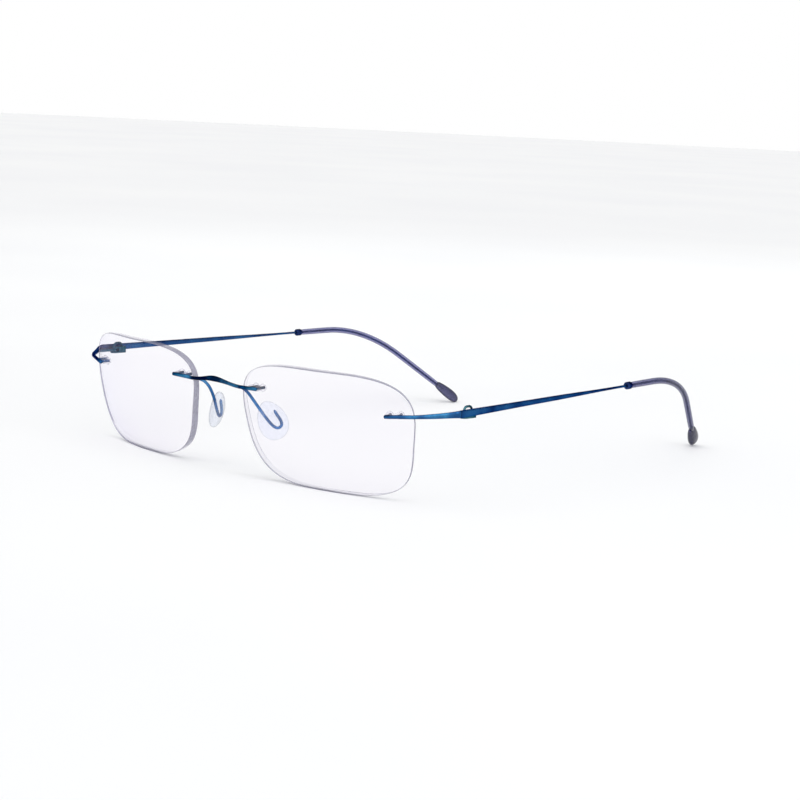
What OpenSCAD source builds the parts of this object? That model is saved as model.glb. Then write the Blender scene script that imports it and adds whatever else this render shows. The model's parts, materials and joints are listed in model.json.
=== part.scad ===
// Rimless spectacles: two drilled lenses carried by a bridge and two endpieces, with
// folding temples on hairpin hinges, soft temple tips and clear insert nose pads.
// +X is the wearer's left, -Y is the front and +Z is up. Millimetres and degrees.
// Everything is drawn for the wearer's left and mirrored for the right.

/* [Lenses] */
// Width of a lens
lens_w = 52; // [50:0.5:54]
// Height of a lens
lens_h = 31.3; // [29:0.1:34]
// Thickness of a lens at its optical centre
lens_t = 2.3; // [2:0.1:2.8]
// Radius of the front surface of a lens
lens_r = 80; // [70:1:90]
// Radius of the flatter back surface, which makes a weak reading lens
lens_back_r = 100; // [95:1:110]
// Distance of the optical centre inwards from the middle of the lens
optical_inset = 6; // [0:0.5:8]
// Distance between the lenses at their widest
bridge_w = 19.8; // [18:0.1:22]
// Angle that each lens is turned back towards the temple
wrap = 9.95; // [6:0.05:12]
// Angle that the top of each lens leans forward
tilt = 10.5; // [6:0.1:12]
// Squareness of the upper outer corner (2 is an ellipse)
corner_upper_outer = 3.1; // [2.5:0.1:5]
// Squareness of the upper inner corner
corner_upper_inner = 3.13; // [2.5:0.01:5]
// Squareness of the lower inner corner
corner_lower_inner = 3.41; // [2.5:0.01:5]
// Squareness of the lower outer corner
corner_lower_outer = 4.19; // [2.5:0.01:5]
// Share by which the inner half narrows from mid height to the bottom
taper_inner = 0.137; // [0:0.001:0.2]
// Share by which the outer half narrows from mid height to the bottom
taper_outer = 0.069; // [0:0.001:0.2]

/* [Lens mounts] */
// Distance between the two holes of a mount
hole_pitch = 2.8; // [2.4:0.1:3.2]
// Radius of a lens hole
hole_r = 0.72; // [0.6:0.01:0.9]
// Radius of a metal post
post_r = 0.4; // [0.35:0.01:0.5]
// Radius of the bar that lies on the lens
bar_r = 0.48; // [0.4:0.01:0.6]
// Middle of the bridge mount, outwards from the lens centre
bridge_mount_u = -21.6; // [-22.5:0.1:-20]
// Middle of the bridge mount, above the lens centre
bridge_mount_v = 8.1; // [6:0.1:10]
// Rise of the bridge bar towards its outer end
bridge_bar_rise = 5.5; // [0:0.1:8]
// Middle of the endpiece mount, outwards from the lens centre
end_mount_u = 21.1; // [19:0.1:22]
// Middle of the endpiece mount, above the lens centre
end_mount_v = 6.25; // [4:0.05:8]
// Rise of the endpiece bar towards its outer end
end_bar_rise = 1.8; // [0:0.1:9]

/* [Bridge and nose pads] */
// Height of the middle of the bridge above its ends
bridge_rise = 1; // [0.5:0.1:4]
// How far the middle of the bridge stands ahead of its ends
bridge_forward = 0.6; // [0:0.1:3]
// Height of the flattened middle of the bridge
bridge_mid_h = 1.5; // [1:0.1:2]
// Length of a nose pad
pad_l = 10.6; // [10:0.1:14]
// Width of a nose pad
pad_w = 8.2; // [6:0.1:9]
// Thickness of a nose pad
pad_t = 2.6; // [2:0.1:4]
// Radius of the pad arm wire
arm_r = 0.42; // [0.35:0.01:0.5]

/* [Temples] */
// Height of the temple strip at the hinge
strip_h = 2; // [1.6:0.1:2.6]
// Thickness of the temple strip
strip_t = 0.9; // [0.7:0.05:1.1]
// Radius of the round wire at the back of the temple
wire_r = 0.34; // [0.3:0.01:0.45]
// Straight length of the temple from the seam to the bend
straight_l = 86.8; // [80:0.1:92]
// Radius of the bend behind the ear
bend_r = 41; // [34:1:50]
// Angle of the bend behind the ear
bend_angle = 41.7; // [35:0.1:50]
// Straight length after the bend, to the very end
drop_l = 26.5; // [22:0.1:32]
// Angle at which the bend leans in towards the head
bend_lean = 28; // [15:1:40]
// Distance from the seam to the collar at the front of the tip sleeve
collar_at = 73.9; // [68:0.1:78]
// Radius of the soft tip sleeve
sleeve_r = 0.93; // [0.8:0.01:1.2]
// Length of the paddle at the very end
paddle_l = 9.4; // [6:0.1:12]
// Width of the paddle
paddle_w = 3.9; // [2.6:0.1:5]
// Thickness of the paddle
paddle_t = 2.1; // [1.9:0.1:3]

/* [Hinges] */
// Angle by which the open temples turn in
splay = 3.5; // [0:0.1:5]
// Rise of the open temples towards the back
climb = 0.9; // [0:0.1:3]
// Radius of the hinge pin
pin_r = 0.3; // [0.26:0.01:0.38]
// Radial running clearance of the pin in the knuckle
pin_clearance = 0.05; // [0.02:0.01:0.1]
// Radius of the ears around the pin
ear_r = 0.95; // [0.8:0.05:1.2]

/* [Hidden] */

$fn = 64;
metal = [0.10, 0.22, 0.50];
dark_metal = [0.08, 0.12, 0.30];
clear = [0.86, 0.88, 0.95, 0.35];
tip_grey = [0.30, 0.31, 0.45];

// The part's origin is under the middle of its box, on the surface that it stands on.
origin_back = 73.175;
origin_down = 15.105;

// Lens centre, and the half sizes of its outline
optical_turn = asin(optical_inset / lens_r);
back_shift = lens_t + lens_back_r - lens_r;
lens_back_centre = [back_shift * sin(optical_turn), lens_r + back_shift * cos(optical_turn), 0];
lens_x = bridge_w / 2 + lens_w / 2 * cos(wrap);
outline_a = lens_w / 2 - 0.62;
outline_b = lens_h / 2;
outline_shift = 0.37;
lens_blank = 16;
outline_step = 2;

// Lens mounts
bar_gap = 0.08;
bar_y = -bar_r - bar_gap;
bar_chamfer = 0.2;
bar_end = hole_pitch / 2 + 0.8;
bridge_bar_inner = -5.2;
end_bar_outer = 5.2;
bush_r = hole_r - 0.02;
bush_bore = post_r + 0.01;
bush_lift = 0.06;
bush_head_r = 1.05;
bush_head_t = 0.45;
bush_tail = 0.95;
bush_web = 1.2 * bush_r;
post_tail = 0.75;

// Nose pads
pad_centre = [10.6, 8.6, -1.0];
pad_yaw = -20;
pad_roll = 13;
pad_pitch = 24;
pad_narrowing = 0.2;
pad_crown = 0.7;

// Hinge, measured from the pin's axis and the middle height of the knuckle
pivot = [66.93, 19, 7.62];
seam_y = -3.1;
seam_gap = 0.1;
strip_x = 1.12 + strip_t / 2;
strip_z = 0.5;
knuckle_h = 0.7;
knuckle_r = 0.82;
tongue_front = -5.4;
tongue_in = -0.74;
tongue_out = 0.49;
ear_gap = 0.08;
ear_h = 0.5;
block_front = 1.15;
block_back = 4.2;
block_in = -0.95;
block_out = 1.02;
block_round = 0.95;
block_z = knuckle_h / 2 + ear_gap + ear_h;
pin_span = 2.9;
pin_rise = -0.1;
pin_bend = 1.1;
pin_leg = 1.2;

sides = 16;

// ---- Small tools -----------------------------------------------------------------

function unit(v) = v / norm(v);
function mix(a, b, s) = a + (b - a) * s;
function ease(s) = s * s * (3 - 2 * s);
function bend_to(v, exponent) = sign(v) * pow(abs(v), exponent);

// Points of a rounded section of width w and height h; squareness 2 is an ellipse.
function section(w, h, squareness = 2, n = sides) =
    [for (i = [0:n - 1])
        let (a = 360 * (i + 0.5) / n)
        [w / 2 * bend_to(cos(a), 2 / squareness), h / 2 * bend_to(sin(a), 2 / squareness)]];

// A section set at point p, with its width along axis a and its height along axis b
function ring(p, a, b, pts) = [for (q = pts) p + q[0] * a + q[1] * b];

// A point on a smooth curve through four points, between the middle two
function blend4(a, b, c, d, s) =
    0.5 * ((2 * b) + (c - a) * s + (2 * a - 5 * b + 4 * c - d) * s * s
        + (3 * b - a - 3 * c + d) * s * s * s);

// A smooth curve through all the points, with k steps between neighbours
function curve(p, k) =
    let (n = len(p), q = concat([2 * p[0] - p[1]], p, [2 * p[n - 1] - p[n - 2]]))
    concat([for (i = [0:n - 2]) for (j = [0:k - 1])
        blend4(q[i], q[i + 1], q[i + 2], q[i + 3], j / k)], [p[n - 1]]);

// Skins a list of rings that all have the same number of points, with flat ends.
module loft(rings) {
    n = len(rings[0]);
    last = len(rings) - 1;
    walls = [for (k = [0:last - 1]) for (i = [0:n - 1])
        let (j = (i + 1) % n)
        each [[k * n + i, k * n + j, (k + 1) * n + j], [k * n + i, (k + 1) * n + j, (k + 1) * n + i]]];
    front_cap = [[for (i = [n - 1:-1:0]) i]];
    back_cap = [[for (i = [0:n - 1]) last * n + i]];
    polyhedron(points = [for (r = rings) each r], faces = concat(walls, front_cap, back_cap));
}

// Skins a tube between a list of outer rings and a list of inner rings.
module loft_tube(outer, inner) {
    n = len(outer[0]);
    last = len(outer) - 1;
    bore = len(outer) * n;
    walls = [for (k = [0:last - 1]) for (i = [0:n - 1])
        let (j = (i + 1) % n, a = k * n, b = (k + 1) * n)
        each [[a + i, a + j, b + j], [a + i, b + j, b + i],
            [bore + a + j, bore + a + i, bore + b + j], [bore + b + j, bore + a + i, bore + b + i]]];
    ends = [for (i = [0:n - 1])
        let (j = (i + 1) % n, b = last * n)
        each [[j, i, bore + i], [j, bore + i, bore + j],
            [b + i, b + j, bore + b + j], [b + i, bore + b + j, bore + b + i]]];
    polyhedron(
        points = concat([for (r = outer) each r], [for (r = inner) each r]),
        faces = concat(walls, ends));
}

// A round wire along a path; ref is a direction that the path never runs along.
// round_end is the share of the radius that the last two sections keep.
module wire(path, r, ref, n = 12, round_end = [0.8, 0.35]) {
    last = len(path) - 1;
    loft([for (k = [0:last])
        let (d = unit(path[min(k + 1, last)] - path[max(k - 1, 0)]),
            a = unit(cross(ref, d)),
            b = cross(d, a),
            size = k == last ? round_end[1] : k == last - 1 ? round_end[0] : 1)
        ring(path[k], a, b, section(2 * r * size, 2 * r * size, 2, n))]);
}

module placed(side) {
    translate([0, -origin_back, origin_down])
        if (side == "left") children();
        else mirror([1, 0, 0]) children();
}

// ---- Lenses and their mounts -----------------------------------------------------

function lens_sag(u, v) = lens_r - sqrt(lens_r * lens_r - u * u - v * v);

function corner_power(a) =
    a < 90 ? corner_upper_outer
    : a < 180 ? corner_upper_inner
    : a < 270 ? corner_lower_inner
    : corner_lower_outer;

// Radius of the untapered outline at angle a from the lens centre
function outline_radius(a) =
    let (n = corner_power(a))
    pow(pow(abs(cos(a)) / outline_a, n) + pow(abs(sin(a)) / outline_b, n), -1 / n);

function outline_point(a) =
    let (r = outline_radius(a), u = r * cos(a), v = r * sin(a),
        taper = u > 0 ? taper_outer : taper_inner)
    [u * (1 + taper * v / outline_b) + outline_shift, v];

// Children are drawn with X outwards along the lens, -Y out of its front, Z up it.
module on_lens() {
    translate([lens_x, 0, 0])
        rotate([0, 0, wrap])
            rotate([tilt, 0, 0])
                children();
}

// Children are drawn at a mount, with the origin on the front surface between its holes.
module on_mount(u, v, rise) {
    sag = lens_sag(u, v);
    on_lens()
        translate([u, sag, v])
            rotate([0, 0, atan2(u, lens_r - sag)])
                rotate([-asin(v / lens_r), 0, 0])
                    rotate([0, -rise, 0])
                        children();
}

// Thickness of the lens at a point
function lens_depth(u, v) =
    lens_t - (1 / lens_r - 1 / lens_back_r) / 2 * (pow(u + optical_inset, 2) + v * v);
bridge_depth = lens_depth(bridge_mount_u, bridge_mount_v);
end_depth = lens_depth(end_mount_u, end_mount_v);

module on_bridge_mount() {
    on_mount(bridge_mount_u, bridge_mount_v, bridge_bar_rise) children();
}

module on_end_mount() {
    on_mount(end_mount_u, end_mount_v, end_bar_rise) children();
}

module two_along_bar() {
    for (x = [-hole_pitch / 2, hole_pitch / 2])
        translate([x, 0, 0])
            children();
}

// A cylinder along +Y
module rod_y(r, from, to) {
    translate([0, from, 0])
        rotate([-90, 0, 0])
            cylinder(r = r, h = to - from);
}

module lens(side) {
    color(clear)
        placed(side)
            difference() {
                on_lens()
                    intersection() {
                        translate([0, lens_blank * 0.75, 0])
                            rotate([90, 0, 0])
                                linear_extrude(height = lens_blank)
                                    polygon([for (a = [0:outline_step:360 - outline_step])
                                        outline_point(a)]);
                        difference() {
                            translate([0, lens_r, 0])
                                sphere(r = lens_r, $fn = 200);
                            translate(lens_back_centre)
                                sphere(r = lens_back_r, $fn = 200);
                        }
                    }
                on_bridge_mount() two_along_bar() rod_y(hole_r, -2, lens_t + 2);
                on_end_mount() two_along_bar() rod_y(hole_r, -2, lens_t + 2);
            }
}

// Bar with chamfered ends from x = a to x = b, and two posts through the lens
module mount_bar(a, b, depth) {
    translate([a, bar_y, 0])
        rotate([0, 90, 0]) {
            cylinder(r1 = bar_r - bar_chamfer, r2 = bar_r, h = bar_chamfer);
            translate([0, 0, bar_chamfer])
                cylinder(r = bar_r, h = b - a - 2 * bar_chamfer);
            translate([0, 0, b - a - bar_chamfer])
                cylinder(r1 = bar_r, r2 = bar_r - bar_chamfer, h = bar_chamfer);
        }
    two_along_bar() rod_y(post_r, bar_y, depth + post_tail);
}

module bridge_mount(side) {
    color(metal)
        placed(side)
            on_bridge_mount()
                mount_bar(bridge_bar_inner, bar_end, bridge_depth);
}

module endpiece_mount(side) {
    color(metal)
        placed(side)
            on_end_mount()
                mount_bar(-bar_end, end_bar_outer, end_depth);
}

// Twin bush: two tubes through the lens, joined by a web behind it
module bush(depth) {
    back = depth + bush_lift;
    difference() {
        union() {
            two_along_bar() {
                rod_y(bush_r, 0.02, back + bush_tail);
                rod_y(bush_head_r, back, back + bush_head_t);
            }
            translate([-hole_pitch / 2, back, -bush_web / 2])
                cube([hole_pitch, bush_head_t, bush_web]);
        }
        two_along_bar() rod_y(bush_bore, -1, back + bush_tail + 1);
    }
}

module bridge_bush(side) {
    color(clear) placed(side) on_bridge_mount() bush(bridge_depth);
}

module endpiece_bush(side) {
    color(clear) placed(side) on_end_mount() bush(end_depth);
}

// ---- Bridge, pad arms and nose pads ----------------------------------------------

// Where the bridge runs into the inner end of its mount bar
bridge_end = [9.2, -1.965, 8.325];
bridge_mid_t = 1.05;
bridge_flat_share = 0.62;

// Height above its ends, as a share of the arch, at share q of the way out from the middle
function bridge_arch(q) = ease(1 - q);

// The bridge rises and comes forward from each end, and is flattened in the middle.
module bridge() {
    steps = 20;
    step = 0.02;
    lift = [0, -bridge_forward, bridge_rise];
    color(metal)
        placed("left")
            loft([for (k = [-steps:steps])
                let (s = k / steps, q = abs(s),
                    p = [bridge_end[0] * s, bridge_end[1], bridge_end[2]] + bridge_arch(q) * lift,
                    q1 = max(0, q - step), q2 = min(1, q + step),
                    slope = sign(s) * (bridge_arch(q2) - bridge_arch(q1)) / (q2 - q1),
                    d = unit([bridge_end[0], 0, 0] + slope * lift),
                    b = unit(cross(d, [0, 1, 0])),
                    a = cross(b, d),
                    flat = ease(max(0, 1 - q / bridge_flat_share)),
                    t = mix(2 * bar_r, bridge_mid_t, flat),
                    h = mix(2 * bar_r, bridge_mid_h, flat))
                ring(p, -a, b, section(t, h, mix(2, 2.4, flat)))]);
}

// Wire from the back of the bridge down to the pad, ending in a U inside the pad
arm_points = [[7.7, -2, 8.35], [7.6, -0.6, 8.1], [7.6, 1, 7.4], [7.7, 2.6, 6.1], [8, 4.1, 4.3],
    [8.6, 5.6, 2.2], [9.5, 7.2, -0.2], [10.5, 8.9, -2.4], [11.2, 10.2, -3.1], [11.6, 11.1, -2.4],
    [11.4, 10.9, -1.1], [10.8, 10.1, 0.3], [10.3, 9.4, 1.6]];

module pad_arm(side) {
    color(metal) placed(side) wire(curve(arm_points, 4), arm_r, [1, 0.2, 0.1]);
}

// Rounded pad, wider at its lower end and crowned on the side that meets the nose
module nose_pad(side) {
    steps = 14;
    color(clear)
        placed(side)
            translate(pad_centre)
                rotate([0, 0, pad_yaw])
                    rotate([pad_pitch, 0, 0])
                        rotate([0, -pad_roll, 0])
                            loft([for (k = [0:steps])
                                let (a = mix(6, 174, k / steps),
                                    s = -cos(a),
                                    full = sin(a),
                                    w = pad_w * full * (1 - pad_narrowing * s),
                                    t = pad_t * pow(full, pad_crown))
                                ring([0, 0, pad_l / 2 * s], [0, 1, 0], [1, 0, 0], section(w, t, 2.2, 24))]);
}

// ---- Endpieces and hinges --------------------------------------------------------

// Centre line of the endpiece, from the end of its mount bar to the seam, with the
// height and thickness of its section at each point
end_points = [[60.4, 6.95, 7.02], [61.3, 7.37, 7.12], [62.3, 7.9, 7.25], [63.2, 8.6, 7.36],
    [64.1, 9.6, 7.47], [65.2, 11, 7.6], [66.3, 12.4, 7.76], [67.3, 13.6, 7.93], [68.05, 14.7, 8.06]];
end_heights = [[0, 0.96], [0.3, 1.05], [0.5, 1.25], [0.75, 1.5], [1, 1.85]];

module endpiece(side) {
    last_point = pivot + [strip_x, seam_y - seam_gap, strip_z];
    path = curve(concat(end_points, [last_point]), 3);
    last = len(path) - 1;
    color(metal)
        placed(side)
            loft([for (k = [0:last])
                let (d = k == last ? [0, 1, 0] : unit(path[k + 1] - path[max(k - 1, 0)]),
                    a = unit(cross(d, [0, 0, 1])),
                    b = k == last ? [0, 0, 1] : cross(a, d),
                    s = k / last,
                    t = mix(2 * bar_r, strip_t, s))
                ring(path[k], a, b, section(t, lookup(s, end_heights), mix(2, 3.4, s)))]);
}

// Children are drawn from the hinge pin's axis, on the side that is asked for.
module on_hinge(side) {
    placed(side) translate(pivot) children();
}

// Tongue brazed inside the endpiece, with a bored round end between the temple's ears
module hinge_knuckle(side) {
    color(dark_metal)
        on_hinge(side)
            difference() {
                union() {
                    cylinder(r = knuckle_r, h = knuckle_h, center = true);
                    translate([tongue_in, tongue_front, -knuckle_h / 2])
                        cube([tongue_out - tongue_in, -tongue_front, knuckle_h]);
                }
                cylinder(r = pin_r + pin_clearance, h = 2 * knuckle_h, center = true);
            }
}

// Block brazed inside the temple strip, forked around the knuckle
module hinge_block(side) {
    width = block_out - block_in;
    color(dark_metal)
        on_hinge(side)
            difference() {
                union() {
                    for (z = [-block_z, block_z - ear_h]) {
                        translate([0, 0, z])
                            cylinder(r = ear_r, h = ear_h);
                        translate([block_in, 0, z])
                            cube([width, block_front + 0.1, ear_h]);
                    }
                    translate([block_in, block_front, -block_z])
                        cube([width, block_back - block_round - block_front, 2 * block_z]);
                    translate([block_in + block_round, block_back - block_round, -block_z])
                        cylinder(r = block_round, h = 2 * block_z);
                }
                cylinder(r = pin_r, h = 3 * block_z, center = true);
                translate([0, pin_span, block_z - pin_leg])
                    cylinder(r = pin_r, h = 2 * pin_leg);
            }
}

// Hairpin: the front leg is the hinge pin, and the back leg is held in the block.
module hinge_pin(side) {
    top = block_z + pin_rise;
    color(dark_metal)
        on_hinge(side) {
            translate([0, 0, -block_z])
                cylinder(r = pin_r, h = top + block_z);
            translate([0, pin_span, block_z - pin_leg])
                cylinder(r = pin_r, h = pin_leg + pin_rise);
            translate([0, pin_bend, top])
                mirror([0, 1, 0])
                    rotate([0, -90, 0])
                        rotate_extrude(angle = 90)
                            translate([pin_bend, 0])
                                circle(r = pin_r);
            translate([0, pin_span - pin_bend, top])
                rotate([0, -90, 0])
                    rotate_extrude(angle = 90)
                        translate([pin_bend, 0])
                            circle(r = pin_r);
            translate([0, 0, top + pin_bend])
                rod_y(pin_r, pin_bend, pin_span - pin_bend);
        }
}

// ---- Temples ---------------------------------------------------------------------

// Children are drawn along the temple: Y runs back from the seam, and the bend is
// towards -Z, so the drawing leans by bend_lean against the upright strip.
module on_temple(side) {
    on_hinge(side)
        translate([strip_x, seam_y, strip_z])
            rotate([0, 0, splay])
                rotate([climb, 0, 0])
                    rotate([0, bend_lean, 0])
                        children();
}

bend_l = bend_r * bend_angle * PI / 180;
temple_l = straight_l + bend_l + drop_l;

// Angle of the centre line, and its point, at distance t from the seam
function temple_angle(t) =
    t < straight_l ? 0 : min(bend_angle, (t - straight_l) / bend_r * 180 / PI);
function temple_point(t) =
    let (q = temple_angle(t), rest = max(0, t - straight_l - bend_l))
    [0, min(t, straight_l) + bend_r * sin(q) + rest * cos(q), -bend_r * (1 - cos(q)) - rest * sin(q)];

// Height, width and squareness of the temple at distances from the seam
strip_heights = [[0, strip_h], [25, 1.5], [44, 1.26], [57, 0.86], [66, 2 * wire_r], [200, 2 * wire_r]];
strip_widths = [[0, strip_t], [40, 0.82], [57, 0.74], [66, 2 * wire_r], [200, 2 * wire_r]];
strip_squareness = [[0, 3.4], [50, 2.6], [66, 2]];
wire_end = temple_l - paddle_l + 2.6;
lean_x = [cos(bend_lean), sin(bend_lean)];
lean_z = [-sin(bend_lean), cos(bend_lean)];

// Flat strip that narrows to a round wire, bent down behind the ear inside its sleeve
module temple(side) {
    bend_end = straight_l + bend_l;
    stations = concat([0, 0.5], [for (t = [4:4:80]) t], [for (t = [straight_l:1.6:bend_end]) t],
        [bend_end + 1, wire_end - 0.3, wire_end]);
    color(metal)
        on_temple(side)
            loft([for (t = stations)
                let (q = temple_angle(t),
                    w = lookup(t, strip_widths),
                    h = lookup(t, strip_heights),
                    pts = section(w, h, lookup(t, strip_squareness)))
                ring(temple_point(t), [1, 0, 0], [0, sin(q), cos(q)],
                    [for (p = pts) p[0] * lean_x + p[1] * lean_z])]);
}

collar_l = 1.8;
collar_r = 1.02;
collar_step = 0.25;

module tip_collar(side) {
    color(dark_metal)
        on_temple(side)
            difference() {
                union() {
                    rod_y(collar_r, collar_at, collar_at + collar_l - collar_step);
                    rod_y(collar_r - collar_step, collar_at - collar_step, collar_at + collar_l);
                }
                rod_y(wire_r + 0.02, collar_at - 2, collar_at + collar_l + 2);
            }
}

// Round section of radius r around the temple's centre line at distance t
function sleeve_ring(t, r) =
    let (q = temple_angle(t))
    ring(temple_point(t), [1, 0, 0], [0, sin(q), cos(q)], section(2 * r, 2 * r));

// Soft tube around the wire, from the collar to just inside the paddle
module tip_sleeve(side) {
    start = collar_at + collar_l + 0.02;
    end = temple_l - paddle_l + 0.6;
    lip = 0.15;
    bore = wire_r + 0.02;
    bend_steps = 15;
    bend = [for (k = [0:bend_steps]) straight_l + k / bend_steps * bend_l];
    stations = concat([start, start + lip], bend, [end - lip, end]);
    function outer_r(t) = t == start || t == end ? sleeve_r - lip : sleeve_r;
    color(tip_grey)
        on_temple(side)
            loft_tube(
                [for (t = stations) sleeve_ring(t, outer_r(t))],
                [for (t = stations) sleeve_ring(t, bore)]);
}

// Flattened drop at the end of the sleeve
module tip_paddle(side) {
    start = temple_l - paddle_l;
    shoulder = 1.24 * sleeve_r / paddle_t;
    profile = [[0, 0.5], [0.03, 0.64], [0.09, 0.73], [0.2, 0.84], [0.35, 0.93], [0.5, 0.985], [0.62, 1],
        [0.73, 0.97], [0.82, 0.89], [0.89, 0.77], [0.94, 0.62], [0.975, 0.44], [0.993, 0.25], [1, 0.1]];
    color(tip_grey)
        on_temple(side)
            loft([for (p = profile)
                let (t = paddle_t * max(p[1], p[0] < 0.5 ? shoulder : 0),
                    up = [0, sin(bend_angle), cos(bend_angle)])
                ring(temple_point(start + p[0] * paddle_l), [1, 0, 0], up,
                    section(t, paddle_w * p[1], 2.2, 20))]);
}

// ---- Nodes -----------------------------------------------------------------------

lens("left");  // lens_left
lens("right");  // lens_right
bridge();
bridge_mount("left");  // bridge_mount_left
bridge_mount("right");  // bridge_mount_right
endpiece_mount("left");  // endpiece_mount_left
endpiece_mount("right");  // endpiece_mount_right
bridge_bush("left");  // bridge_bush_left
bridge_bush("right");  // bridge_bush_right
endpiece_bush("left");  // endpiece_bush_left
endpiece_bush("right");  // endpiece_bush_right
pad_arm("left");  // pad_arm_left
pad_arm("right");  // pad_arm_right
nose_pad("left");  // nose_pad_left
nose_pad("right");  // nose_pad_right
endpiece("left");  // endpiece_left
endpiece("right");  // endpiece_right
hinge_knuckle("left");  // hinge_knuckle_left
hinge_knuckle("right");  // hinge_knuckle_right
hinge_block("left");  // hinge_block_left
hinge_block("right");  // hinge_block_right
hinge_pin("left");  // hinge_pin_left
hinge_pin("right");  // hinge_pin_right
temple("left");  // temple_left
temple("right");  // temple_right
tip_collar("left");  // tip_collar_left
tip_collar("right");  // tip_collar_right
tip_sleeve("left");  // tip_sleeve_left
tip_sleeve("right");  // tip_sleeve_right
tip_paddle("left");  // tip_paddle_left
tip_paddle("right");  // tip_paddle_right
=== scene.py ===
import json
import math

import bmesh
import bpy
import numpy as np
from mathutils import Matrix, Vector
from mathutils.bvhtree import BVHTree


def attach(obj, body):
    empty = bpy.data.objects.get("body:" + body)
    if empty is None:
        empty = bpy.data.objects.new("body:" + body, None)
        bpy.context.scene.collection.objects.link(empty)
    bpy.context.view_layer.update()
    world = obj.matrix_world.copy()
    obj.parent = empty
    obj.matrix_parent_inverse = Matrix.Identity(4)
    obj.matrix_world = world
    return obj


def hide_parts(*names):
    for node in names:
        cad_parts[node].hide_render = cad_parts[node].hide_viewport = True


# Looks of the rimless eyeglasses. Metres, in the frame of the CAD model: +X is the
# wearer's left, -Y the front, +Z up, and the glasses stand on z = 0.

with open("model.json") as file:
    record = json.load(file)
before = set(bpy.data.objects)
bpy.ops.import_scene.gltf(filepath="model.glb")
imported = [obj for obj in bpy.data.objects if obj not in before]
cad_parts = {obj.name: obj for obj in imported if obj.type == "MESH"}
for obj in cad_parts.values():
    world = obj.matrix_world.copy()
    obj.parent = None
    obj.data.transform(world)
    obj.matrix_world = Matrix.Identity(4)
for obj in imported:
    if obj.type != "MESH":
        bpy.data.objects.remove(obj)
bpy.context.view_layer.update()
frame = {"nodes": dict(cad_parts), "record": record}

MM = 0.001
SIDES = ("left", "right")
NODES = frame["nodes"]
BODIES = frame["record"]["behaviour"]["bodies"]
BODY_OF = {node: body for body, nodes in BODIES.items() for node in nodes}


# ---- Mesh tools --------------------------------------------------------------------

CORNER = math.radians(50)     # an edge sharper than this is a corner, not part of a curve
WELD = 0.0005 * MM            # vertices nearer than this are one
ONE_PLANE = 0.9999999         # the cosine between two faces of the same plane
PAIR_FOLD = math.radians(40)  # how far two triangles may fold and still be joined
PAIR_SKEW = math.radians(60)  # how far their joined corners may be from square

# The angles at which the shading of a plain, a subdivided and a drilled piece breaks
PLAIN_CREASE, SMOOTH_CREASE, DRILLED_CREASE = (math.radians(a) for a in (35, 60, 30))


def welded(node):
    """A bmesh copy of a CAD node with its vertices joined."""
    bm = bmesh.new()
    bm.from_mesh(NODES[node].data)
    bmesh.ops.remove_doubles(bm, verts=bm.verts, dist=WELD)
    bmesh.ops.dissolve_degenerate(bm, edges=bm.edges, dist=WELD)
    return bm


def flat_group(face, seen):
    """The faces that lie in one plane with face, reached through shared edges."""
    group, queue = [], [face]
    seen.add(face)
    while queue:
        f = queue.pop()
        group.append(f)
        for edge in f.edges:
            for other in edge.link_faces:
                if other not in seen and other.normal.dot(face.normal) > ONE_PLANE:
                    seen.add(other)
                    queue.append(other)
    return group


def is_cap(group):
    """Whether flat faces form a disc without holes whose whole rim is a corner."""
    edges = {e for f in group for e in f.edges}
    points = {v for f in group for v in f.verts}
    members = set(group)
    rim = [e for e in edges if any(f not in members for f in e.link_faces)]
    is_disc = len(points) - len(edges) + len(group) == 1
    return len(group) > 3 and is_disc and all(e.calc_face_angle(0) > CORNER for e in rim)


def quads(bm):
    """Makes each flat cap one face, and joins the other triangles in pairs."""
    bm.normal_update()
    seen = set()
    groups = [flat_group(f, seen) for f in list(bm.faces) if f not in seen]
    for group in groups:
        if is_cap(group):
            bmesh.ops.dissolve_faces(bm, faces=group, use_verts=False)
    bmesh.ops.join_triangles(bm, faces=[f for f in bm.faces if len(f.verts) == 3],
                             angle_face_threshold=PAIR_FOLD, angle_shape_threshold=PAIR_SKEW)


def corner_edges(bm):
    return [e for e in bm.edges if len(e.link_faces) == 2 and e.calc_face_angle() > CORNER]


def round_corners(bm, width):
    if width > 0:
        bmesh.ops.bevel(bm, geom=corner_edges(bm), offset=width, segments=2, profile=0.5,
                        affect="EDGES", clamp_overlap=True)


def shade_smooth(mesh, crease):
    mesh.polygons.foreach_set("use_smooth", [True] * len(mesh.polygons))
    mesh.set_sharp_from_angle(angle=crease)


def add_object(name, bm, *materials):
    """An object made from a bmesh, which is used up."""
    mesh = bpy.data.meshes.new(name)
    bm.normal_update()
    bm.to_mesh(mesh)
    bm.free()
    for material in materials:
        mesh.materials.append(material)
    shade_smooth(mesh, PLAIN_CREASE)
    obj = bpy.data.objects.new(name, mesh)
    bpy.context.scene.collection.objects.link(obj)
    return obj


def apply_modifiers(obj, crease):
    """Puts the result of the modifiers in the object's own mesh, and shades it smooth."""
    evaluated = obj.evaluated_get(bpy.context.evaluated_depsgraph_get())
    obj.data = bpy.data.meshes.new_from_object(evaluated)
    obj.modifiers.clear()
    shade_smooth(obj.data, crease)


def subdivided(obj, levels):
    if levels:
        modifier = obj.modifiers.new("smooth", "SUBSURF")
        modifier.levels = modifier.render_levels = levels
        apply_modifiers(obj, SMOOTH_CREASE)
    return obj


def stand_for(obj, node):
    """obj takes the place of a CAD node, on the same body."""
    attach(obj, BODY_OF[node])
    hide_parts(node)
    return obj


# ---- Node materials ----------------------------------------------------------------

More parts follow.
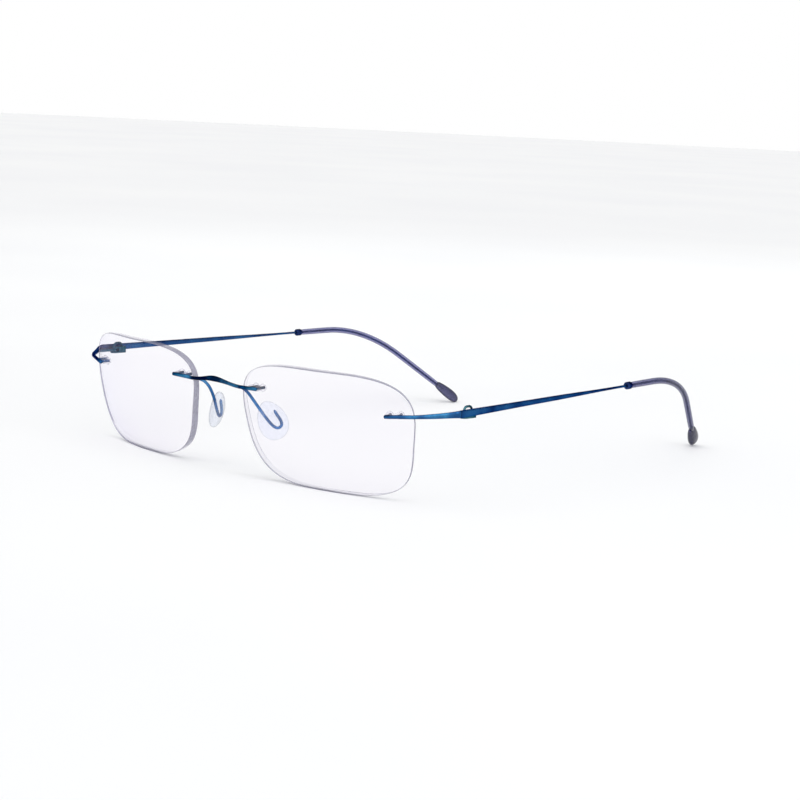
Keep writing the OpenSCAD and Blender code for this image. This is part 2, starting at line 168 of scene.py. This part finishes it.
NOISE_RANGE = (0.3, 0.7)    # noise seldom leaves this range
PLATING_PATCH = 7 * MM      # width of the plating's patches of colour
POLISHING_MARK = 0.12 * MM  # width of the fine marks in the metal, and how deep they are
MARK_DEPTH = 0.004 * MM
COAT_PATCH = 14 * MM        # width of the lens coat's patches of colour
EDGE_MARK = 0.25 * MM       # width of the grinding marks in a lens's edge, and how deep
EDGE_MARK_DEPTH = 0.003 * MM
PAINTED_RIM_SHARE = 0.92            # how much of a clear plastic's painted rim shade shows at its rim
UNEVENNESS = 0.4            # how much a moulded plastic's roughness varies
CLOUDINESS = 0.05           # how much its own colour comes and goes


class Nodes:
    """A short way to write a node material."""

    def __init__(self, name):
        self.material = bpy.data.materials.new(name)
        self.material.use_nodes = True
        self.tree = self.material.node_tree
        self.tree.nodes.clear()
        self.out = self.add("ShaderNodeOutputMaterial")
        self.where = self.add("ShaderNodeTexCoord").outputs["Object"]

    def add(self, kind, inputs=None, **settings):
        node = self.tree.nodes.new(kind)
        for key, value in settings.items():
            setattr(node, key, value)
        for key, value in (inputs or {}).items():
            if isinstance(value, bpy.types.NodeSocket):
                self.tree.links.new(value, node.inputs[key])
            else:
                node.inputs[key].default_value = value
        return node

    def noise(self, size, detail, stretch=None):
        """Noise from 0 to 1 whose blobs are about size metres wide."""
        vector = self.where
        if stretch:
            mapping = {"Vector": vector, "Scale": stretch}
            vector = self.add("ShaderNodeMapping", mapping).outputs[0]
        return self.add("ShaderNodeTexNoise", {
            "Vector": vector,
            "Scale": 1 / size,
            "Detail": detail,
        }).outputs["Fac"]

    def ramp(self, value, stops):
        node = self.add("ShaderNodeValToRGB", {"Fac": value})
        elements = node.color_ramp.elements
        while len(elements) < len(stops):
            elements.new(0.5)
        for element, (place, colour) in zip(elements, stops):
            element.position = place
            element.color = (*colour, 1)
        return node.outputs["Color"]

    def rescale(self, value, source, target):
        """value moved from the range source to the range target."""
        return self.add("ShaderNodeMapRange", {
            "Value": value,
            "From Min": source[0],
            "From Max": source[1],
            "To Min": target[0],
            "To Max": target[1],
        }).outputs[0]

    def spread(self, noise, low, high):
        return self.rescale(noise, NOISE_RANGE, (low, high))

    def turned_away(self, power):
        """0 where the surface faces the eye, and 1 where it is seen along its face."""
        facing = self.add("ShaderNodeLayerWeight", {"Blend": 0.5}).outputs["Facing"]
        return self.add("ShaderNodeMath", {0: facing, 1: power}, operation="POWER").outputs[0]

    def bump(self, height, depth):
        return self.add("ShaderNodeBump", {
            "Height": height,
            "Distance": depth,
            "Strength": 1.0,
        }).outputs[0]

    def mixed(self, share, first, second):
        shaders = {0: share, 1: first.outputs[0], 2: second.outputs[0]}
        return self.add("ShaderNodeMixShader", shaders)

    def finish(self, shader):
        self.tree.links.new(shader.outputs[0], self.out.inputs["Surface"])
        return self.material


def blue_metal(name, dark, mid, light):
    """Plated metal whose blue drifts along it, with fine polishing marks and dark edges."""
    n = Nodes(name)
    drift = n.noise(PLATING_PATCH, detail=3)
    marks = n.noise(POLISHING_MARK, detail=4, stretch=(1, 0.25, 1))
    return n.finish(n.add("ShaderNodeBsdfPrincipled", {
        "Base Color": n.ramp(drift, [(0.34, dark), (0.5, mid), (0.66, light)]),
        "Metallic": 1.0,
        "Roughness": n.spread(marks, 0.2, 0.32),
        "Normal": n.bump(marks, MARK_DEPTH),
        "Specular Tint": (0.04, 0.08, 0.22, 1),
    }))


def clear_plastic(name, middle, rim, body, see, rough, mottled, power, waves=0.01 * MM):
    """Clear or tinted plastic: seen through in the middle, with painted shade where it turns away
    that stands in for the dark outline of a clear part.

    middle is its own colour and rim is the painted shade at its rim, body is how much of them shows
    in the middle, and see tints what is behind it. power sets how narrow the painted rim is, mottled
    how wide the moulded unevenness is, and waves how deep.
    """
    n = Nodes(name)
    mottle = n.noise(mottled, detail=3)
    turned = n.turned_away(power)
    # painted shade: the colour turns from middle to the dark rim colour where the surface turns
    # away, standing in for the dark outline of a clear part
    tint_and_painted_shade = n.add("ShaderNodeBsdfPrincipled", {
        "Base Color": n.ramp(turned, [(0.02, middle), (0.45, rim)]),
        "Roughness": n.spread(mottle, rough * (1 - UNEVENNESS), rough * (1 + UNEVENNESS)),
        "Normal": n.bump(mottle, waves),
        "IOR": 1.42,
        "Coat Weight": 0.6,
        "Coat Roughness": 0.04,
    })
    through = n.add("ShaderNodeBsdfTransparent", {"Color": (*see, 1)})
    share = n.rescale(turned, (0, 1), (body, PAINTED_RIM_SHARE))
    cloudy = n.spread(mottle, -CLOUDINESS, CLOUDINESS)
    total = n.add("ShaderNodeMath", {0: share, 1: cloudy}, operation="ADD", use_clamp=True)
    return n.finish(n.mixed(total.outputs[0], through, tint_and_painted_shade))


def lens_face():
    """Polished lens with a faint lilac coat reflection, stronger where it turns away."""
    n = Nodes("lens_face")
    film = n.noise(COAT_PATCH, detail=1)
    mirror = n.add("ShaderNodeBsdfGlossy", {
        "Color": n.ramp(film, [(0.3, (0.62, 0.52, 0.95)), (0.7, (0.78, 0.80, 1.0))]),
        "Roughness": 0.03,
    })
    through = n.add("ShaderNodeBsdfTransparent", {"Color": (0.989, 0.982, 0.995, 1)})
    share = n.rescale(n.turned_away(4.0), (0, 1), (0.005, 0.25))
    return n.finish(n.mixed(share, through, mirror))


def lens_edge(name, outside, inside):
    """The lens's polished edge, painted grey-lilac as painted shade for the dark outline that
    refraction gives a clear edge. outside and inside are how much of this painted shade shows from
    either side.

    Seen from inside the lens it mirrors the glass, so the painted shade all but disappears.
    """
    n = Nodes(name)
    lines = n.noise(EDGE_MARK, detail=4, stretch=(0.3, 1, 0.3))
    # painted shade: these grey-lilac colours stand in for the dark outline of a clear edge, and the
    # noise adds its grinding marks
    tint_and_painted_shade = n.add("ShaderNodeBsdfPrincipled", {
        "Base Color": n.ramp(lines, [
            (0.3, (0.15, 0.145, 0.205)),
            (0.55, (0.22, 0.215, 0.295)),
            (0.75, (0.31, 0.305, 0.39)),
        ]),
        "Roughness": n.spread(lines, 0.25, 0.4),
        "Normal": n.bump(lines, EDGE_MARK_DEPTH),
        "IOR": 1.45,
    })
    through = n.add("ShaderNodeBsdfTransparent", {"Color": (0.93, 0.925, 0.95, 1)})
    mirror = n.add("ShaderNodeFresnel", {"IOR": 1.7}).outputs[0]
    share = n.rescale(mirror, (0.15, 0.5), (outside, inside))
    return n.finish(n.mixed(share, through, tint_and_painted_shade))


BRIDGE_BLUE = blue_metal("bridge_blue_metal", dark=(0.002, 0.007, 0.024),
                         mid=(0.004, 0.019, 0.060), light=(0.035, 0.17, 0.33))
BRIGHT_BLUE = blue_metal("front_blue_metal", dark=(0.010, 0.04, 0.13),
                         mid=(0.022, 0.10, 0.26), light=(0.06, 0.26, 0.48))
TEMPLE_BLUE = blue_metal("temple_blue_metal", dark=(0.012, 0.035, 0.12),
                         mid=(0.020, 0.068, 0.20), light=(0.030, 0.11, 0.27))
WIRE_BLUE = blue_metal("pad_wire_metal", dark=(0.03, 0.11, 0.28),
                       mid=(0.06, 0.20, 0.46), light=(0.10, 0.30, 0.56))
HINGE_BLUE = blue_metal("hinge_metal", dark=(0.010, 0.045, 0.070),
                        mid=(0.022, 0.085, 0.120), light=(0.05, 0.16, 0.20))
COLLAR_BLUE = blue_metal("collar_metal", dark=(0.008, 0.014, 0.06),
                         mid=(0.015, 0.03, 0.11), light=(0.04, 0.09, 0.24))
# The rim colours below are painted shade for the dark outline at the rim of a clear part.
CLEAR_BUSH = clear_plastic("clear_bush_plastic", middle=(0.88, 0.88, 0.93),
                           rim=(0.40, 0.40, 0.46), body=0.05, see=(0.98, 0.98, 0.99),
                           rough=0.08, mottled=0.4 * MM, power=3.0)
CLEAR_SILICONE = clear_plastic("clear_pad_silicone", middle=(0.84, 0.87, 0.95),
                               rim=(0.10, 0.10, 0.16), body=0.09, see=(0.955, 0.965, 0.99),
                               rough=0.10, mottled=1.1 * MM, power=3.4, waves=0.03 * MM)
TIP_SILICONE = clear_plastic("tip_silicone_skin", middle=(0.22, 0.22, 0.40),
                             rim=(0.012, 0.012, 0.045), body=0.12, see=(0.56, 0.56, 0.74),
                             rough=0.2, mottled=0.9 * MM, power=2.0)
PADDLE_SILICONE = clear_plastic("paddle_silicone", middle=(0.14, 0.14, 0.26),
                                rim=(0.004, 0.004, 0.016), body=0.36, see=(0.30, 0.30, 0.45),
                                rough=0.2, mottled=0.9 * MM, power=1.2)

# A lens has its face, its edge, and a line along the front of the edge. The edge and the line carry
# painted shade for the dark outline of a clear edge. The numbers are their places in the lens's list
# of materials.
LENS_MATERIALS = [
    lens_face(),
    lens_edge("lens_edge", outside=0.82, inside=0.03),
    lens_edge("lens_edge_line", outside=0.80, inside=0.58),
]
FACE, EDGE, LINE = range(3)


# ---- Metal -------------------------------------------------------------------------

# Each metal piece: its node's name without the side, its material, the width of its rounded
# corners in millimetres, and how many times it is subdivided.
METAL = [
    ("bridge_mount", BRIDGE_BLUE, 0.05, 0),
    ("endpiece_mount", BRIGHT_BLUE, 0.05, 0),
    ("endpiece", BRIGHT_BLUE, 0.06, 1),
    ("pad_arm", WIRE_BLUE, 0, 1),
    ("hinge_knuckle", HINGE_BLUE, 0.07, 0),
    ("hinge_block", HINGE_BLUE, 0.09, 0),
    ("hinge_pin", HINGE_BLUE, 0.05, 0),
    ("temple", TEMPLE_BLUE, 0.06, 1),
    ("tip_collar", COLLAR_BLUE, 0.08, 0),
]


def rounded_piece(node, material, corner, levels):
    """The CAD shape with rounded corners and smooth curves."""
    bm = welded(node)
    quads(bm)
    round_corners(bm, corner * MM)
    return stand_for(subdivided(add_object("look_" + node, bm, material), levels), node)


# ---- Lenses ------------------------------------------------------------------------

LENS_AROUND = 288          # points in each ring
LENS_RINGS = 20            # rings between the middle and the rim of a face
LENS_CROWDING = 0.8        # below 1, the rings crowd towards the rim
LENS_BEVEL = 0.13 * MM     # safety bevel along both rims
LENS_LINE = 0.45 * MM      # width of the painted shade line along the front of the edge
HOLE_SIDES = 40
DRILL_OVERSHOOT = 1 * MM   # how far the drill reaches past the lens on either side
ANGLES = np.linspace(0, 2 * math.pi, LENS_AROUND, endpoint=False)


def corner_loops(bm):
    """The closed loops of corner edges, longest first, as arrays of points."""
    edges = dict.fromkeys(corner_edges(bm))
    loops = []
    while edges:
        edge = next(iter(edges))
        del edges[edge]
        start, v = edge.verts
        points = [start.co.copy()]
        while v != start:
            points.append(v.co.copy())
            edge = next((e for e in v.link_edges if e in edges), None)
            if edge is None:
                break
            del edges[edge]
            v = edge.other_vert(v)
        loops.append(np.array(points))
    return sorted(loops, key=loop_length, reverse=True)


def loop_length(points):
    return np.linalg.norm(np.roll(points, -1, 0) - points, axis=1).sum()


def fitted_sphere(points):
    """Centre and radius of the sphere nearest to the points."""
    rows = np.c_[2 * points, np.ones(len(points))]
    solved = np.linalg.lstsq(rows, (points ** 2).sum(1), rcond=None)[0]
    centre = solved[:3]
    return centre, math.sqrt(solved[3] + centre @ centre)


class LensShape:
    """Both spherical faces of a lens, measured on the loops of its CAD node."""

    def __init__(self, node):
        bm = welded(node)
        front, back, *self.holes = corner_loops(bm)
        bm.free()
        if front[:, 1].mean() > back[:, 1].mean():
            front, back = back, front
        self.middle = front.mean(0)
        self.right, self.up, normal = np.linalg.svd(front - self.middle)[2]
        self.forward = normal * np.sign(normal @ (self.middle - back.mean(0)))

        # The holes' loops belong to the face whose rim they are level with.
        depths = [(p.mean(0) - self.middle) @ self.forward for p in self.holes]
        halfway = (max(depths) + min(depths)) / 2
        ahead = [p for p, depth in zip(self.holes, depths) if depth > halfway]
        behind = [p for p, depth in zip(self.holes, depths) if depth <= halfway]
        self.faces = [self.measured(front, ahead), self.measured(back, behind)]

    def measured(self, rim, holes):
        """The sphere of a face, and how far its rim is from the middle at each angle."""
        centre, radius = fitted_sphere(np.vstack([rim, *holes]))
        flat = rim - self.middle
        x, y = flat @ self.right, flat @ self.up
        theta = np.arctan2(y, x)
        order = np.argsort(theta)
        reach = np.interp(ANGLES, theta[order], np.hypot(x, y)[order], period=2 * math.pi)
        return centre, radius, reach

    def ring(self, side, share, inset=0.0, sink=0.0):
        """A ring on the front face, side 0, or the back face, side 1.

        It lies at a share of the way to the rim, inset from the rim and sunk below the face.
        """
        centre, radius, reach = self.faces[side]
        r = np.maximum(reach - inset, 0) * share
        p = self.middle + np.outer(r * np.cos(ANGLES), self.right)
        p = p + np.outer(r * np.sin(ANGLES), self.up)
        rel = p - centre
        along = rel @ self.forward
        root = np.sqrt(along ** 2 - (rel ** 2).sum(1) + radius ** 2)
        p = p + np.outer(-along + root, self.forward)
        return p - self.forward * sink * (1 if side == 0 else -1)

    def rings(self):
        """All rings from the middle of the front face over the edge to that of the back.

        The zone of a ring is the material of the band between it and the next one.
        """
        soft = LENS_BEVEL * (1 - math.sqrt(0.5))
        shares = [(i / LENS_RINGS) ** LENS_CROWDING for i in range(1, LENS_RINGS + 1)]
        front_rim, back_rim = (self.ring(side, 1, 0, LENS_BEVEL) for side in (0, 1))
        thickness = np.linalg.norm(back_rim - front_rim, axis=1, keepdims=True)
        line_rim = front_rim + (back_rim - front_rim) * np.minimum(LENS_LINE / thickness, 0.5)
        front = [self.ring(0, share, LENS_BEVEL) for share in shares]
        back = [self.ring(1, share, LENS_BEVEL) for share in reversed(shares)]
        rings = [
            *front,
            self.ring(0, 1, soft, soft),
            front_rim,
            line_rim,
            back_rim,
            self.ring(1, 1, soft, soft),
            *back,
        ]
        zones = [FACE] * (LENS_RINGS - 1) + [LINE] * 3 + [EDGE] * 3 + [FACE] * (LENS_RINGS - 1)
        return rings, zones


def lens_piece(node):
    """A fine mesh of the lens: both curved faces, the edge with its safety bevels, and the holes."""
    shape = LensShape(node)
    rings, zones = shape.rings()
    points = [shape.ring(0, 0)[0], *np.vstack(rings), shape.ring(1, 0)[0]]
    last_ring, last_point = 1 + (len(rings) - 1) * LENS_AROUND, len(points) - 1
    faces, kinds = [], []
    for i in range(LENS_AROUND):
        j = (i + 1) % LENS_AROUND
        faces.append((0, 1 + i, 1 + j))
        kinds.append(FACE)
        for k, zone in enumerate(zones):
            a, b = 1 + k * LENS_AROUND, 1 + (k + 1) * LENS_AROUND
            faces.append((a + i, b + i, b + j, a + j))
            kinds.append(zone)
        faces.append((last_ring + i, last_point, last_ring + j))
        kinds.append(FACE)
    mesh = bpy.data.meshes.new("lens_rings")
    mesh.from_pydata([tuple(p) for p in points], [], faces)
    bm = bmesh.new()
    bm.from_mesh(mesh)
    bpy.data.meshes.remove(mesh)
    for face, kind in zip(bm.faces, kinds):
        face.material_index = kind
    bmesh.ops.recalc_face_normals(bm, faces=bm.faces)
    lens = add_object("look_" + node, bm, *LENS_MATERIALS)
    drill(lens, shape.holes)
    return stand_for(lens, node)


def drill(lens, loops):
    """Cuts a round hole between each pair of nearest loops."""
    cutter = bmesh.new()
    waiting = list(loops)
    while waiting:
        first = waiting.pop()
        second = min(waiting, key=lambda p: np.linalg.norm(p.mean(0) - first.mean(0)))
        waiting = [p for p in waiting if p is not second]
        a, b = Vector(first.mean(0)), Vector(second.mean(0))
        radius = float(np.linalg.norm(first - first.mean(0), axis=1).min())
        turn = (b - a).to_track_quat("Z", "Y").to_matrix().to_4x4()
        bmesh.ops.create_cone(cutter, cap_ends=True, segments=HOLE_SIDES,
                              radius1=radius, radius2=radius,
                              depth=(b - a).length + 2 * DRILL_OVERSHOOT,
                              matrix=Matrix.Translation((a + b) / 2) @ turn)
    tool = add_object("drill_tool", cutter, *LENS_MATERIALS)
    modifier = lens.modifiers.new("holes", "BOOLEAN")
    modifier.operation = "DIFFERENCE"
    modifier.solver = "EXACT"
    modifier.object = tool
    apply_modifiers(lens, DRILLED_CREASE)
    bpy.data.objects.remove(tool)


# ---- Soft pieces -------------------------------------------------------------------

BORE_REACH = 0.1 * MM  # the points of a sleeve's bore are nearer to the wire than this


def pad_piece(node):
    rounded_piece(node, CLEAR_SILICONE, 0, 2)


def sleeve_piece(side):
    """The outer skin of the sleeve. The wire fills its bore, so the bore isn't drawn."""
    node = "tip_sleeve_" + side
    bm = welded(node)
    temple = welded("temple_" + side)
    wire = BVHTree.FromBMesh(temple)
    temple.free()
    bore = [v for v in bm.verts if wire.find_nearest(v.co)[3] < BORE_REACH]
    bmesh.ops.delete(bm, geom=bore, context="VERTS")
    bmesh.ops.holes_fill(bm, edges=[e for e in bm.edges if e.is_boundary], sides=0)
    quads(bm)
    stand_for(subdivided(add_object("look_" + node, bm, TIP_SILICONE), 1), node)


rounded_piece("bridge", BRIDGE_BLUE, 0, 1)
for side in SIDES:
    for base, material, corner, levels in METAL:
        rounded_piece(f"{base}_{side}", material, corner, levels)
    lens_piece("lens_" + side)
    rounded_piece("bridge_bush_" + side, CLEAR_BUSH, 0.08, 0)
    rounded_piece("endpiece_bush_" + side, CLEAR_BUSH, 0.08, 0)
    pad_piece("nose_pad_" + side)
    sleeve_piece(side)
    rounded_piece("tip_paddle_" + side, PADDLE_SILICONE, 0.12, 2)


# ---- Studio ------------------------------------------------------------------------

OBJECT_MIDDLE = (0, 0, 15 * MM)
FLOOR_RADIUS = 6
FLOOR_GAP = 0.05 * MM  # keeps the floor clear of the lens bottoms and the temple tips


def stand_light(data, place, target):
    """Stands a light at place and turns it towards target."""
    light = bpy.data.objects.new(data.name, data)
    light.location = place
    light.rotation_euler = (Vector(target) - Vector(place)).to_track_quat("-Z", "Y").to_euler()
    bpy.context.scene.collection.objects.link(light)


def studio_floor():
    n = Nodes("studio_floor")
    shade = n.noise(0.25, detail=2)
    paper = n.finish(n.add("ShaderNodeBsdfPrincipled", {
        "Base Color": n.ramp(shade, [(0.3, (0.90, 0.90, 0.91)), (0.7, (0.93, 0.93, 0.93))]),
        "Roughness": n.spread(shade, 0.75, 0.85),
    }))
    bm = bmesh.new()
    bmesh.ops.create_circle(bm, cap_ends=True, cap_tris=False, segments=96, radius=FLOOR_RADIUS)
    floor = add_object("studio_floor", bm, paper)
    floor.location.z = -FLOOR_GAP


def area_light(name, place, size, power, colour):
    data = bpy.data.lights.new(name, "AREA")
    data.shape = "RECTANGLE"
    data.size, data.size_y = size
    data.energy = power
    data.color = colour
    stand_light(data, place, OBJECT_MIDDLE)


def sun_light(name, direction, strength, softness):
    """A sun in that direction, whose disc is softness degrees wide."""
    data = bpy.data.lights.new(name, "SUN")
    data.energy = strength
    data.angle = math.radians(softness)
    stand_light(data, direction, (0, 0, 0))


def studio_world():
    """White to the eye. Its light is bright low down and dim overhead, which shades thin metal."""
    world = bpy.data.worlds.new("studio_world")
    world.use_nodes = True
    tree = world.node_tree
    add, join = tree.nodes.new, tree.links.new
    split = add("ShaderNodeSeparateXYZ")
    sky = add("ShaderNodeValToRGB")
    join(add("ShaderNodeTexCoord").outputs["Generated"], split.inputs[0])
    join(split.outputs["Z"], sky.inputs["Fac"])
    levels = [(0.0, 0.9), (0.25, 0.75), (0.5, 0.4), (1.0, 0.3)]
    elements = sky.color_ramp.elements
    while len(elements) < len(levels):
        elements.new(0.5)
    for element, (height, level) in zip(elements, levels):
        element.position = height
        element.color = (level * 0.98, level * 0.99, level, 1)
    lit = tree.nodes["Background"]
    join(sky.outputs["Color"], lit.inputs["Color"])
    plain = add("ShaderNodeBackground")
    plain.inputs["Color"].default_value = (1, 1, 1, 1)
    mix = add("ShaderNodeMixShader")
    join(add("ShaderNodeLightPath").outputs["Is Camera Ray"], mix.inputs[0])
    join(lit.outputs[0], mix.inputs[1])
    join(plain.outputs[0], mix.inputs[2])
    join(mix.outputs[0], tree.nodes["World Output"].inputs["Surface"])
    bpy.context.scene.world = world


def studio_camera(azimuth, elevation, roll, distance, aim):
    """Stands azimuth degrees from the front towards the wearer's left, elevation above."""
    turn, rise = math.radians(azimuth), math.radians(elevation)
    back = Vector((
        math.sin(turn) * math.cos(rise),
        -math.cos(turn) * math.cos(rise),
        math.sin(rise),
    ))
    data = bpy.data.cameras.new("camera")
    data.sensor_width = 36
    data.lens = 90
    data.clip_start = 0.01
    camera = bpy.data.objects.new("camera", data)
    level = (-back).to_track_quat("-Z", "Y").to_matrix().to_4x4()
    tilted = level @ Matrix.Rotation(math.radians(roll), 4, "Z")
    camera.matrix_world = Matrix.Translation(Vector(aim) + back * distance) @ tilted
    bpy.context.scene.collection.objects.link(camera)
    bpy.context.scene.camera = camera


studio_floor()
studio_world()
sun_light("key_sun", direction=(0.35, -0.5, 0.9), strength=2.35, softness=110)
area_light("side_strip", place=(0.75, -0.05, 0.35), size=(0.10, 0.6), power=0.8,
           colour=(0.93, 0.96, 1.0))
area_light("back_softbox", place=(-0.35, 0.65, 0.5), size=(0.4, 0.2), power=0.45,
           colour=(0.94, 1.0, 1.0))
studio_camera(azimuth=42.32, elevation=8.49, roll=2.79, distance=538.4 * MM,
              aim=(21.7 * MM, -27.875 * MM, 18.105 * MM))
bpy.context.scene.view_settings.view_transform = "Standard"
